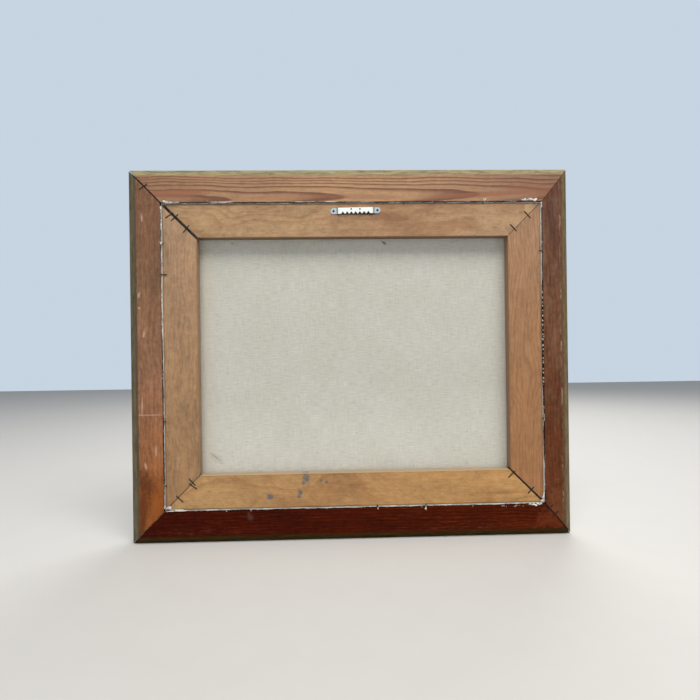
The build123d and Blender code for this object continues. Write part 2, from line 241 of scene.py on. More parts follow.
# %% Finish
class Finish:
    """A material made of nodes, with its place in millimetres as x, y and z."""

    def __init__(self, name):
        self.material = bpy.data.materials.new(name)
        self.material.use_nodes = True
        self.tree = self.material.node_tree
        self.shader = self.tree.nodes["Principled BSDF"]
        place = self.node("ShaderNodeTexCoord", out="Object")
        scaled = self.node("ShaderNodeVectorMath", {"operation": "SCALE"}, {0: place, "Scale": 1 / MM})
        self.x, self.y, self.z = (self.node("ShaderNodeSeparateXYZ", {}, {0: scaled}, out) for out in "XYZ")

    def node(self, kind, settings=None, sockets=None, out=0):
        made = self.tree.nodes.new(kind)
        for key, value in (settings or {}).items():
            if key == "stops":
                self.set_stops(made.color_ramp, value)
            else:
                setattr(made, key, value)
        for key, value in (sockets or {}).items():
            if isinstance(value, Wire):
                self.tree.links.new(value.socket, made.inputs[key])
            else:
                made.inputs[key].default_value = value
        return Wire(self, made.outputs[out])

    def set_stops(self, ramp, stops):
        while len(ramp.elements) < len(stops):
            ramp.elements.new(0.5)
        for element, (position, shade) in zip(ramp.elements, stops):
            element.position = position
            element.color = shade

    def clouds(self, a, b, c=0.0, detail=2.0, rough=0.5):
        """Soft noise from 0 to 1 with lumps about one unit wide."""
        where = self.node("ShaderNodeCombineXYZ", {}, {0: a, 1: b, 2: c})
        sockets = {"Vector": where, "Scale": 1.0, "Detail": detail, "Roughness": rough}
        return self.node("ShaderNodeTexNoise", {}, sockets)

    def specks(self, a, b, radius, chosen):
        """Round specks of up to radius in a share of the cells, which are one unit wide."""
        where = self.node("ShaderNodeCombineXYZ", {}, {0: a, 1: b})
        settings = {"voronoi_dimensions": "2D"}
        near = self.node("ShaderNodeTexVoronoi", settings, {"Vector": where, "Scale": 1.0})
        lot = self.node("ShaderNodeTexVoronoi", settings, {"Vector": where, "Scale": 1.0}, "Color")
        lot = self.node("ShaderNodeSeparateColor", {}, {0: lot})
        return (near / (lot.smooth(1.0 - chosen, 1.0) * radius + 0.0001)).smooth(1.0, 0.6)

    def oval(self, a, b, centre, size, turn=0.0, ragged=0.0, soft=0.12):
        """Mask of one oval patch in the plane of a and b, turned by degrees, with an uneven edge."""
        cosine = math.cos(math.radians(turn))
        sine = math.sin(math.radians(turn))
        a = a - centre[0]
        b = b - centre[1]
        long = (a * cosine + b * sine) / (size[0] / 2)
        wide = (b * cosine - a * sine) / (size[1] / 2)
        distance = (long * long + wide * wide) ** 0.5
        if ragged:
            lump = max(0.9, min(size) / 3)
            uneven = self.clouds(a / lump, b / lump, centre[0], 4.0, 0.8) - 0.5
            distance = distance + uneven * (3.2 * ragged)
        return distance.smooth(1.0 + soft, 1.0 - soft)

    def mix(self, amount, first, second):
        """First colour where amount is 0, second where it is 1."""
        sockets = {MIX_AMOUNT: amount, MIX_FIRST: first, MIX_SECOND: second}
        return self.node("ShaderNodeMix", {"data_type": "RGBA"}, sockets, MIX_RESULT)

    def dim(self, tone, amount):
        """A colour times a number."""
        if not isinstance(tone, Wire):
            tone = tone[:3]
        return self.node("ShaderNodeVectorMath", {"operation": "SCALE"}, {0: tone, "Scale": amount})

    def wear(self, colour, roughness, relief=None, metallic=None):
        """Plug the finished values into the shader; relief is in millimetres."""
        pairs = {"Base Color": colour, "Roughness": roughness, "Metallic": metallic}
        if relief is not None:
            sockets = {"Strength": 1.0, "Distance": MM, "Height": relief}
            pairs["Normal"] = self.node("ShaderNodeBump", {}, sockets)
        for key, value in pairs.items():
            if isinstance(value, Wire):
                self.tree.links.new(value.socket, self.shader.inputs[key])
            elif value is not None:
                self.shader.inputs[key].default_value = value
        return self.material


def paint_chart(red, green, blue):
    """Linear colour of a card whose colour is given from 0 to 255."""

    def linear(value):
        share = value / 255
        return share / 12.92 if share <= 0.04045 else ((share + 0.055) / 1.055) ** 2.4

    return (linear(red), linear(green), linear(blue), 1.0)


def give(name, material):
    """Give a CAD node one finish."""
    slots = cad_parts[name].data.materials
    slots.clear()
    slots.append(material)


print("middle grey of the chart in linear light:", round(paint_chart(128, 128, 128)[0], 3))

# %% [markdown]
# ## Wood
# Pine grows in rings: pale wide early wood, then a thin dark line of late wood. A board cut along the trunk
# shows each ring as a line, and where the cut grazes the rings, as long pointed arches. So instead of
# drawing stripes we model the trunk: `pith` says how far the middle of the tree lies in from the piece's
# outer edge and behind its face, and `lean` and `rise` tilt it against the board. The distance from it,
# bent by slow noise and divided by the ring width, gives the rings. Fine fibres, short pores, flecks and a
# blotchy old surface go on top. A tone chart along the piece's length gives the stain or the yellowing.
# Dirt and painted shade darken the two mitre cuts, so that an open gap reads dark.


# %% Wood helper
# Near-black of dirt and of painted shade in the mitre gaps.
CUT_DIRT_AND_SHADE = (24, 16, 11)
PORE_DARK = 0.12  # how much darker a pore is than the wood round it


class Wood(Finish):
    """Wood of one side of a rectangle: along runs with the grain, inset runs in from the outer edge."""

    def __init__(self, name, side, outline):
        super().__init__(name)
        self.side = side
        level = side in ("top", "bottom")
        low, high = (outline["left"], outline["right"]) if level else (outline["bottom"], outline["top"])
        self.centre = (low + high) / 2
        self.length = high - low
        self.along = self.x if level else self.z
        across = self.z if level else self.x
        self.inset = outline[side] - across if side in ("top", "right") else across - outline[side]
        self.share = (self.along - low) / self.length

    def grain(self, tones, late, pith, lean, rise, ring, contrast, wander, waver, streak, blotch, seed):
        """Colour and relief of bare wood."""
        slow = self.clouds(self.along / 90 + seed, self.inset / 45, self.y / 45, 1.0)
        quick = self.clouds(self.along / 30 + seed, self.inset / 9, self.y / 9, 2.0)
        bend = (slow - 0.5) * (2 * wander) + (quick - 0.5) * (2 * waver)
        beside = self.inset - pith[0] + self.along * lean + bend
        behind = self.y + pith[1] + self.along * rise
        radius = (beside * beside + behind * behind) ** 0.5
        phase = (radius / ring + self.clouds(radius / (2.5 * ring), seed, 0.0, 0.0) * 1.2).maths("FRACT")
        self.late = phase.smooth(0.42, 0.88) * phase.smooth(1.0, 0.93)
        self.fibre = self.clouds(self.along / 20 + seed, self.inset / 1.1, self.y / 1.1, 4.0, 0.6)
        broad_fibre = self.clouds(self.along / 34 + seed, self.inset / 2.6, self.y / 2.6, 2.0)
        pores = self.clouds(self.along / 6 + seed, self.inset / 0.6, self.y / 0.6, 1.0).smooth(0.62, 0.74)
        mottle = self.clouds(self.along / 8 + seed, self.inset / 5, self.y / 5, 4.0, 0.7)
        flecks = self.clouds(self.along / 9 + seed, self.inset / 1.9, self.y / 1.9, 2.0, 0.6)
        flecks = flecks.smooth(0.56, 0.72)
        cloud = self.clouds(self.along / 75 + seed, self.inset / 30, self.y / 30, 2.0, 0.6)
        stops = [(place, paint_chart(*tone)) for place, tone in tones]
        colour = self.node("ShaderNodeValToRGB", {"stops": stops}, {0: self.share})
        colour = self.mix(self.late * contrast, colour, paint_chart(*late))
        shade = 1.02 + (self.fibre - 0.5) * 0.50 + (broad_fibre - 0.5) * (1.7 * streak)
        shade = shade - flecks * (0.20 * blotch) - pores * PORE_DARK
        shade = shade + (mottle - 0.5) * (2.1 * blotch) + (cloud - 0.5) * (1.4 * blotch)
        relief = self.late * 0.05 + self.fibre * 0.12 - pores * 0.05
        return self.dim(colour, shade), relief

    def patch(self, at, inset, long, wide, turn=0.0, ragged=0.9, soft=0.12):
        """Mask of an oval patch at a share of the length from the middle, and inset from the outer edge."""
        where = (self.centre + at * self.length, inset)
        return self.oval(self.along, self.inset, where, (long, wide), turn, ragged, soft)

    def dirty_and_shaded_mitres(self, colour, ends, slopes=(1.0, 1.0)):
        """Darken the two mitre cuts with dirt and painted shade of the open gap; each end gives how far it
        reaches and how dark it is.
        """
        runs = (self.share * self.length, (1.0 - self.share) * self.length)
        for run, (reach, dark), slope in zip(runs, ends, slopes):
            cut = (run - self.inset * slope).smooth(reach, reach - 0.7) * dark
            colour = self.mix(cut, colour, paint_chart(*CUT_DIRT_AND_SHADE))
        return colour


def smudge_or_shade(wood, colour, mask, strength, tone):
    """Mix a tone into a colour: rubbed-in dirt, paint or stain, and below the hanger painted shadow and
    shade.
    """
    return wood.mix(mask * strength, colour, paint_chart(*tone))


print("pieces of wood to finish:", 2 * len(SIDES))

# %% [markdown]
# ## Stretcher bars
# The bars are bare planed pine that has yellowed in the air. Each was cut from another board, so each gets
# its own pith, ring width and tone. Their long edges are a little darker from handling, a painted shade line
# runs along each bar's inner edge, and the ends near a mitre have drawn in dirt. The inner side faces carry
# painted light and shade: dark under the top bar, pale on the bottom ledge, and a painted shadow where they
# meet the cloth. `FIGURES` gives the faint ripple that runs across flat-sawn pine. Two of the four mitres
# are wide open, so dirt and painted shade reach further along their cuts.

# %% Stretcher bars
PINE_BARS = {
    "top": {
        "tones": [(0.0, (157, 125, 88)), (0.45, (160, 127, 90)), (0.62, (152, 115, 80)),
                  (1.0, (168, 135, 100))],
        "late": (138, 96, 60), "pith": (42, 60), "lean": 0.035, "rise": 0.02, "ring": 6.4, "contrast": 0.50,
        "wander": 60.0, "waver": 3.4, "streak": 0.16, "blotch": 0.50, "seed": 1.7,
    },
    "right": {
        "tones": [(0.0, (151, 104, 62)), (0.5, (153, 110, 72)), (1.0, (155, 118, 88))],
        "late": (116, 68, 38), "pith": (70, 14), "lean": 0.030, "rise": 0.01, "ring": 4.8, "contrast": 0.30,
        "wander": 22.0, "waver": 2.4, "streak": 0.34, "blotch": 0.34, "seed": 4.1,
    },
    "bottom": {
        "tones": [(0.0, (170, 132, 85)), (0.5, (168, 127, 78)), (1.0, (178, 134, 80))],
        "late": (144, 96, 52), "pith": (18, 80), "lean": -0.03, "rise": 0.02, "ring": 6.2, "contrast": 0.44,
        "wander": 50.0, "waver": 3.0, "streak": 0.18, "blotch": 0.46, "seed": 7.9,
    },
    "left": {
        "tones": [(0.0, (149, 112, 74)), (0.5, (152, 118, 84)), (1.0, (156, 125, 95))],
        "late": (120, 80, 48), "pith": (-28, 18), "lean": 0.030, "rise": 0.01, "ring": 5.6, "contrast": 0.24,
        "wander": 30.0, "waver": 2.6, "streak": 0.26, "blotch": 0.50, "seed": 11.3,
    },
}
FIGURES = {  # ripple across the grain: size in mm, slant and strength
    "top": (5.0, 0.7, 0.12), "right": (4.0, 0.0, 0.05), "bottom": (4.0, 1.1, 0.12), "left": (5.0, 0.2, 0.10),
}
INNER_SIDE_LIGHT_AND_SHADE = {  # painted light and shade on the bars' inner side faces: dark under the top bar, pale on the bottom ledge
    "top": (97, 72, 55), "right": (140, 106, 80), "bottom": (168, 146, 114), "left": (154, 122, 92),
}
# The bars' mitre cuts are darkened by dirt and by painted shade of the open gap.
BAR_MITRE_DIRT_AND_SHADE = {  # how far it reaches and how dark it is, at the left or lower end and the right or upper end
    "top": ((2.9, 1.0), (0.9, 0.5)), "right": ((2.1, 0.9), (0.9, 0.5)),
    "bottom": ((1.1, 0.5), (2.1, 0.9)), "left": ((1.1, 0.5), (2.9, 1.0)),
}
HANDLING_DIRT_AND_EDGE_SHADE = (92, 58, 36)
CLOTH_SHADOW = (52, 38, 30)
RUST_AND_SHADOW_BROWN = (120, 74, 44)
HANGER_SHADOW = (34, 20, 15)
RUBBED_PINE = (190, 150, 112)
SPATTER_BLUE = (88, 95, 104)
SPATTER_GROWTH = 1.15
PAINT_SPATTERS = [  # share along the bottom bar, inset, length, width
    (-0.133, 38.5, 6.0, 10.5), (-0.141, 32.0, 3.0, 4.0), (-0.094, 35.5, 3.0, 2.6), (-0.079, 33.0, 3.5, 3.0),
    (-0.149, 20.0, 4.5, 5.5), (-0.152, 14.0, 3.0, 3.0), (-0.228, 15.0, 6.0, 6.0),
]


def pine_bar(side, settings):
    wood = Wood(f"pine_{side}", side, bars)
    colour, relief = wood.grain(**settings)
    size, slant, strength = FIGURES[side]
    ripple = wood.clouds((wood.along + wood.inset * slant) / size, wood.inset / 22, wood.y / 22, 2.0)
    colour = wood.dim(colour, 1.0 + (ripple - 0.5) * strength * 2)
    # Painted light and shade on the inner side faces: dark under the top bar, pale on the bottom ledge.
    inner_side = wood.inset.smooth(BAR_WIDTH - 0.7, BAR_WIDTH - 0.2)
    colour = wood.mix(inner_side * 0.8, colour, paint_chart(*INNER_SIDE_LIGHT_AND_SHADE[side]))
    # Handling dirt along the outer edge and the ends, and a painted shade line along the inner edge.
    patchy = wood.clouds(wood.x / 9, wood.y / 9, wood.z / 9, 3.0)
    edge = wood.inset.smooth(2.4, 0.4).most(wood.inset.band(BAR_WIDTH - 1.2, BAR_WIDTH - 0.6, 0.5))
    ends = wood.share.smooth(0.03, 0.0).most(wood.share.smooth(0.97, 1.0))
    colour = wood.mix(edge.most(ends) * patchy * 0.85, colour, paint_chart(*HANDLING_DIRT_AND_EDGE_SHADE))
    contact = wood.y.smooth(bars["front"] - 2.6, bars["front"] - 0.8) * inner_side
    colour = wood.mix(contact * 0.7, colour, paint_chart(*CLOTH_SHADOW))
    return wood, wood.dirty_and_shaded_mitres(colour, BAR_MITRE_DIRT_AND_SHADE[side]), relief


def rust_and_shade_top(wood, colour, relief):
    """Rust has run from the hanger into the top bar, a painted shadow lies in a line below the hanger, and
    the wood behind its teeth is painted in deep shade.
    """
    hanging = (hanger["right"] - wood.centre) / wood.length
    # Rust patches; the row at inset 19 is a painted shadow line below the hanger, laid on in the same brown.
    for at, inset, long, wide, strength in [
        (hanging - 0.065, 10.6, 52.0, 7.6, 0.90), (hanging - 0.065, 12.0, 56.0, 8.0, 0.35),
        (hanging + 0.02, 17.0, 44.0, 12.0, 0.45), (hanging + 0.06, 25.0, 60.0, 16.0, 0.25),
        (hanging - 0.06, 19.0, 60.0, 5.0, 0.30), (-0.2, 12.0, 70.0, 12.0, 0.15), (0.28, 8.0, 80.0, 9.0, 0.15),
    ]:
        rust_and_shadow = wood.patch(at, inset, long, wide, 6.0, 0.5, 0.45)
        colour = smudge_or_shade(wood, colour, rust_and_shadow, strength, RUST_AND_SHADOW_BROWN)
    behind = wood.along.band(hanger["left"] + 6.0, hanger["right"] - 6.0, 2.0)
    behind = behind * wood.inset.band(7.0, 15.0, 0.9)
    return smudge_or_shade(wood, colour, behind, 0.90, HANGER_SHADOW), relief


def spattered_bottom(wood, colour, relief):
    """Drops of blue-grey paint have dried on the bottom bar."""
    for at, inset, long, wide in PAINT_SPATTERS:
        spatter = wood.patch(at, inset, long * SPATTER_GROWTH, wide * SPATTER_GROWTH, 20.0, 1.9)
        colour = smudge_or_shade(wood, colour, spatter, 0.9, SPATTER_BLUE)
        relief = relief + spatter * 0.15
    return colour, relief


def rubbed_left(wood, colour, relief):
    """The left bar is rubbed paler in places."""
    rubbed = wood.clouds(wood.along / 22 + 5, wood.inset / 10, 0.0, 3.0, 0.6).smooth(0.55, 0.75)
    return smudge_or_shade(wood, colour, rubbed, 0.25, RUBBED_PINE), relief


BAR_MARKS = {"top": rust_and_shade_top, "bottom": spattered_bottom, "left": rubbed_left}
for side, settings in PINE_BARS.items():
    wood, colour, relief = pine_bar(side, settings)
    if side in BAR_MARKS:
        colour, relief = BAR_MARKS[side](wood, colour, relief)
    roughness = 0.56 + wood.fibre * 0.2 - wood.late * 0.06
    give(f"stretcher_bar_{side}", wood.wear(colour, roughness, relief))
print("pine bars finished:", len(PINE_BARS))

# %% [markdown]
# ## Frame rails
# The rails' backs carry four different brown stains, and each rail has been scuffed in its own way. Round
# the outside runs a chamfer with the same olive-gold paint as the front; it is brushed thinly, rubs off
# along the edges and lets brown show through. The paint is a mask over the wood: everything outside a
# wavering line near the chamfer's inner edge, and everything on the front of the moulding, where a brown
# scoop lies between the ridge and the sight edge. One function per rail adds its own wear.

# %% Frame rails
RAIL_WOODS = {
    "top": {
        "tones": [(0.0, (133, 98, 72)), (0.2, (152, 116, 85)), (0.55, (168, 130, 94)), (0.82, (147, 111, 84)),
                  (1.0, (126, 93, 72))],
        "late": (100, 58, 40), "pith": (38, 20), "lean": 0.014, "rise": 0.024, "ring": 3.6, "contrast": 0.86,
        "wander": 3.4, "waver": 1.2, "streak": 0.20, "blotch": 0.34, "seed": 21.3,
    },
    "right": {
        "tones": [(0.0, (88, 39, 8)), (0.3, (94, 49, 22)), (0.6, (104, 67, 45)), (0.85, (100, 66, 50)),
                  (1.0, (86, 52, 36))],
        "late": (66, 32, 18), "pith": (60, 24), "lean": -0.01, "rise": 0.02, "ring": 5.0, "contrast": 0.36,
        "wander": 9.0, "waver": 2.8, "streak": 0.34, "blotch": 0.78, "seed": 25.1,
    },
    "bottom": {
        "tones": [(0.0, (58, 11, 1)), (0.5, (67, 17, 1)), (1.0, (75, 24, 3))],
        "late": (40, 4, 1), "pith": (70, 30), "lean": 0.006, "rise": 0.01, "ring": 3.6, "contrast": 0.50,
        "wander": 4.0, "waver": 1.4, "streak": 0.55, "blotch": 0.80, "seed": 28.9,
    },
    "left": {
        "tones": [(0.0, (104, 48, 6)), (0.14, (126, 66, 14)), (0.22, (148, 95, 58)), (0.45, (136, 97, 72)),
                  (0.7, (120, 87, 63)), (1.0, (114, 79, 57))],
        "late": (92, 50, 28), "pith": (55, 16), "lean": 0.02, "rise": 0.02, "ring": 5.0, "contrast": 0.24,
        "wander": 10.0, "waver": 3.4, "streak": 0.34, "blotch": 0.66, "seed": 33.7,
    },
}
# Lit and shaded copies of one paint: painted light on the top chamfer, which faces up, and painted shade on
# the bottom one, which faces down.
GILDINGS_LIT_AND_SHADED = {  # paint, where it is worn, width of the painted edge at the side's two ends, unevenness
    "top": ((146, 134, 92), (98, 84, 62), (8.7, 8.7), 3.6),
    "right": ((122, 104, 72), (84, 66, 42), (12.4, 9.6), 16.0),
    "bottom": ((68, 50, 12), (46, 28, 5), (9.6, 9.6), 5.0),
    "left": ((108, 97, 74), (74, 62, 42), (11.8, 11.4), 4.0),
}
RAIL_MITRE_DIRT_AND_SHADE = {  # dirt and painted shade in the frame's mitres, given as for the bars
    "top": ((1.7, 0.95), (0.8, 0.45)), "right": ((1.5, 0.9), (0.8, 0.45)),
    "bottom": ((0.9, 0.5), (1.5, 0.9)), "left": ((0.9, 0.5), (1.7, 0.95)),
}
RAIL_SHINE = {"top": 0.35, "right": 0.18, "bottom": 0.05, "left": 0.22}
FRONT_GOLD = paint_chart(150, 128, 78)
FRONT_WORN = paint_chart(96, 72, 40)
FRONT_SCOOP = paint_chart(74, 46, 26)
SCOOP = (17.5, 35.0)  # inset of the front's brown scoop
HOLLOWS = ((15.6, 17.8), (34.2, 36.2))  # inset of the two grooves beside it
RABBET_DEPTH = cloth["front"] + 0.2
RABBET = 1.8  # bar to rabbet wall
RABBET_SHADE_DEPTH = 19.0  # the rabbet's wall gets painted shade from the back to this depth
RAIL_WIDTHS = {side: abs(rails[side] - bars[side]) - RABBET for side in SIDES}


def gilded(wood, colour, relief, roughness, paint, worn, widths, uneven):
    """Lay the olive-gold paint over a rail's outer edge and front."""
    ragged = wood.clouds(wood.along / 9, wood.inset / 3, wood.y / 3, 3.0, 0.6)
    width = wood.share * (widths[1] - widths[0]) + widths[0]
    outside = (width + (ragged - 0.5) * uneven - wood.inset).smooth(-0.15, 0.25)
    brushed = wood.clouds(wood.along / 24, wood.inset / 1.5, wood.y / 1.5, 4.0, 0.6)
    patches = wood.clouds(wood.along / 20 + 3, wood.inset / 4, wood.y / 4, 5.0, 0.75)
    side_face = wood.inset.smooth(0.7, 0.2)
    patches = patches.smooth(0.38, 0.68) * (1.0 - side_face * 0.6)
    gold = wood.mix(patches, paint_chart(*paint), paint_chart(*worn))
    front = wood.y.smooth(RABBET_DEPTH - 0.3, RABBET_DEPTH + 0.3)
    blended = (wood.y + (ragged - 0.5) * 8.0).smooth(RABBET_DEPTH - 2.0, RABBET_DEPTH + 2.0)
    front_paint = side_face * blended + (1.0 - side_face) * front
    scoop = wood.inset.band(*SCOOP, 1.6)
    rubbed = wood.clouds(wood.along / 14 + 7, wood.inset / 1.8, 0.0, 5.0, 0.7).smooth(0.50, 0.80)
    hollows = wood.inset.band(*HOLLOWS[0], 0.8).most(wood.inset.band(*HOLLOWS[1], 0.8))
    antique = wood.mix(rubbed * 0.8, FRONT_GOLD, FRONT_WORN)
    antique = wood.mix(scoop * (1.0 - rubbed * 0.25), antique, FRONT_SCOOP)
    antique = wood.mix(hollows * 0.55, antique, FRONT_SCOOP)
    gold = wood.mix(wood.inset.smooth(7.6, 9.4) * 0.75, gold, paint_chart(*worn))
    gold = wood.mix(front_paint, gold, antique)
    thin = ragged.smooth(0.62, 0.74) * 0.6
    gold = wood.mix(thin, wood.dim(gold, 1.25 - brushed * 0.5), wood.dim(colour, 0.8))
    cover = outside.most(front)
    colour = wood.mix(cover, colour, gold)
    # Painted shade on the rabbet's wall, in the narrow gap beside the bars.
    wall = wood.inset.smooth(RAIL_WIDTHS[wood.side] - 0.5, RAIL_WIDTHS[wood.side] - 0.2)
    wall = wall * wood.y.smooth(RABBET_DEPTH, RABBET_SHADE_DEPTH)
    colour = wood.dim(colour, 1.0 - wall * 0.6)
    roughness = roughness * (1.0 - cover) + cover * (0.42 + brushed * 0.25)
    relief = relief * (1.0 - cover * 0.6) + cover * (brushed * 0.12 - thin * 0.08)
    return colour, relief, roughness


def worn_top(wood, colour, relief):
    """Reddish heartwood at the ends of the top rail, and a rubbed yellow middle."""
    for at, inset, long, wide, turn, strength in [
        (-0.40, 33.0, 95.0, 9.0, -2.0, 0.75), (0.30, 36.0, 130.0, 7.0, -3.0, 0.60),
        (0.02, 38.0, 120.0, 6.0, 1.0, 0.35), (0.42, 30.0, 70.0, 16.0, 4.0, 0.40),
        (-0.16, 39.0, 90.0, 6.0, 0.0, 0.30),
    ]:
        heartwood = wood.patch(at, inset, long, wide, turn, 0.5)
        colour = smudge_or_shade(wood, colour, heartwood, strength, (140, 88, 62))
    return colour, relief


def worn_right(wood, colour, relief):
    """A grey film and pale rubbed waves beside the right rail's painted edge, and a dark and a bare patch."""
    film = wood.clouds(wood.along / 40 + 2, wood.inset / 12, 0.0, 5.0, 0.7).smooth(0.45, 0.70)
    film = film * wood.share.smooth(0.10, 0.60)
    colour = smudge_or_shade(wood, colour, film, 0.45, (128, 102, 84))
    wave = wood.clouds(wood.along / 34 + 9, 0.0, 0.0, 2.0)
    pale = (wood.inset + (wave - 0.5) * 9).band(12.2, 13.6, 1.0) * film.most(wave.smooth(0.5, 0.6))
    colour = smudge_or_shade(wood, colour, pale, 0.70, (166, 142, 122))
    dark = wood.patch(0.33, 22.0, 70.0, 16.0, 8.0, 0.8, 0.5)
    colour = smudge_or_shade(wood, colour, dark, 0.45, (66, 38, 28))
    bare = wood.patch(-0.44, 20.0, 70.0, 22.0, 0.0, 1.2, 0.4)
    return smudge_or_shade(wood, colour, bare, 0.40, (128, 74, 42)), relief


def worn_bottom(wood, colour, relief):
    """Reddish streaks and scuffs along the dark bottom rail, a bare corner and one grey smear."""
    streaks = wood.clouds(wood.along / 36 + 4, wood.inset / 2.2, wood.y / 4, 4.0, 0.7).smooth(0.53, 0.74)
    colour = smudge_or_shade(wood, colour, streaks, 0.42, (122, 56, 24))
    scuffs = wood.clouds(wood.along / 13 + 4, wood.inset / 2.0, 0.0, 5.0, 0.75).smooth(0.50, 0.72)
    rubbed_right = wood.patch(0.30, 15.0, 150.0, 14.0, 0.0, 0.8, 0.5)
    rubbed_left_end = wood.patch(-0.35, 15.0, 110.0, 10.0, 0.0, 0.8, 0.5)
    colour = smudge_or_shade(wood, colour, scuffs * rubbed_right.most(rubbed_left_end), 0.42, (142, 84, 56))
    corner = wood.patch(0.46, 24.0, 50.0, 26.0, 20.0, 1.2, 0.5)
    colour = smudge_or_shade(wood, colour, corner, 0.35, (124, 62, 34))
    smear = wood.patch(-0.235, 34.0, 7.0, 10.0, 30.0, 1.2, 0.4)
    return smudge_or_shade(wood, colour, smear, 0.38, (92, 70, 66)), relief + smear * 0.1


def worn_left(wood, colour, relief):
    """Pale scratches, flecks and marks on the left rail, and dark and orange stains at its lower end."""
    scratches = wood.clouds(wood.along / 26 + 8, wood.inset / 0.9, 0.0, 2.0, 0.6).smooth(0.66, 0.78)
    flecks = wood.clouds(wood.along / 5 + 1, wood.inset / 3.0, 0.0, 4.0, 0.75).smooth(0.62, 0.74)
    colour = smudge_or_shade(wood, colour, scratches, 0.40, (196, 164, 144))
    colour = smudge_or_shade(wood, colour, flecks, 0.35, (190, 158, 136))
    for at, inset, long, wide, turn in [
        (-0.155, 25.0, 1.1, 40.0, 0.0), (-0.13, 16.5, 24.0, 1.5, 2.0), (0.165, 14.0, 8.0, 3.0, 14.0),
        (0.13, 14.0, 3.0, 2.4, 10.0), (0.06, 20.0, 8.0, 2.6, 8.0), (-0.25, 34.0, 13.0, 2.6, 0.0),
        (-0.29, 20.0, 9.0, 3.0, -12.0), (0.37, 19.0, 11.0, 2.4, -4.0),
    ]:
        mark = wood.patch(at, inset, long, wide, turn, 1.1)
        colour = smudge_or_shade(wood, colour, mark, 0.46, (206, 176, 158))
    for at, inset, long, wide, turn, strength, tone in [
        (-0.335, 20.0, 34.0, 17.0, -30.0, 0.75, (86, 42, 12)),
        (-0.40, 16.0, 70.0, 8.0, 0.0, 0.60, (84, 42, 8)),
        (-0.40, 33.0, 56.0, 15.0, 8.0, 0.60, (150, 84, 30)),
        (-0.45, 22.0, 40.0, 8.0, 14.0, 0.50, (156, 92, 40)),
    ]:
        stain = wood.patch(at, inset, long, wide, turn, 1.2, 0.5)
        colour = smudge_or_shade(wood, colour, stain, strength, tone)
    streaks = wood.clouds(wood.along / 14 + 2, wood.inset / 3.0, 0.0, 4.0, 0.7).smooth(0.52, 0.68)
    colour = smudge_or_shade(wood, colour, streaks * wood.share.smooth(0.30, 0.10), 0.45, (74, 32, 4))
    return colour, relief


WEAR = {"top": worn_top, "right": worn_right, "bottom": worn_bottom, "left": worn_left}
for side, settings in RAIL_WOODS.items():
    wood = Wood(f"stained_rail_{side}", side, rails)
    colour, relief = wood.grain(**settings)
    colour, relief = WEAR[side](wood, colour, relief)
    roughness = 0.46 + wood.fibre * 0.24
    colour, relief, roughness = gilded(wood, colour, relief, roughness, *GILDINGS_LIT_AND_SHADED[side])
    neighbours = ("left", "right") if side in ("top", "bottom") else ("bottom", "top")
    slopes = [RAIL_WIDTHS[neighbour] / RAIL_WIDTHS[side] for neighbour in neighbours]
    colour = wood.dirty_and_shaded_mitres(colour, RAIL_MITRE_DIRT_AND_SHADE[side], slopes)
    wood.shader.inputs["Specular IOR Level"].default_value = RAIL_SHINE[side]
    give(f"frame_rail_{side}", wood.wear(colour, roughness, relief))
print("rails finished:", len(RAIL_WOODS))

# %% [markdown]
# ## Metal
# The hanger is zinc-plated pressed sheet. Its colour carries painted reflections: bright on the raised
# middle, which catches the light, bluish grey on its two tabs and dark in the bends between them, with a
# ring of painted shade round each peep hole. Its nails, the staples and the brads are plain wire that has
# gone dark. Zinc shows a faint cloudy pattern, and old steel has brown specks.

# %% Metal
HANGER_MIDDLE = (hanger["left"] + hanger["right"]) / 2
HANGER_RAISED = 49.5  # length of the part that stands off the wood
PEEP_HOLES = (5.8, 2.6)  # out from the middle, and down from the top
PEEP_RIM = 2.3  # across the ring of painted shade round a peep hole


def old_metal(name, tone, spot, amount, roughness, metallic):
    """Dark wire with brown specks."""
    metal = Finish(name)
    cloudy = metal.clouds(metal.x / 1.4, metal.y / 1.4, metal.z / 1.4, 3.0, 0.6)
    spots = cloudy.smooth(0.62 - amount, 0.74)
    colour = metal.mix(spots, metal.dim(paint_chart(*tone), 1.15 - cloudy * 0.3), paint_chart(*spot))
    return metal.wear(colour, roughness + spots * 0.3, cloudy * 0.02, (1.0 - spots * 0.8) * metallic)


wire_steel = old_metal("wire_steel", (24, 22, 21), (30, 18, 12), 0.12, 0.48, 0.4)
nail_steel = old_metal("nail_steel", (34, 35, 37), (40, 30, 24), 0.06, 0.42, 0.5)


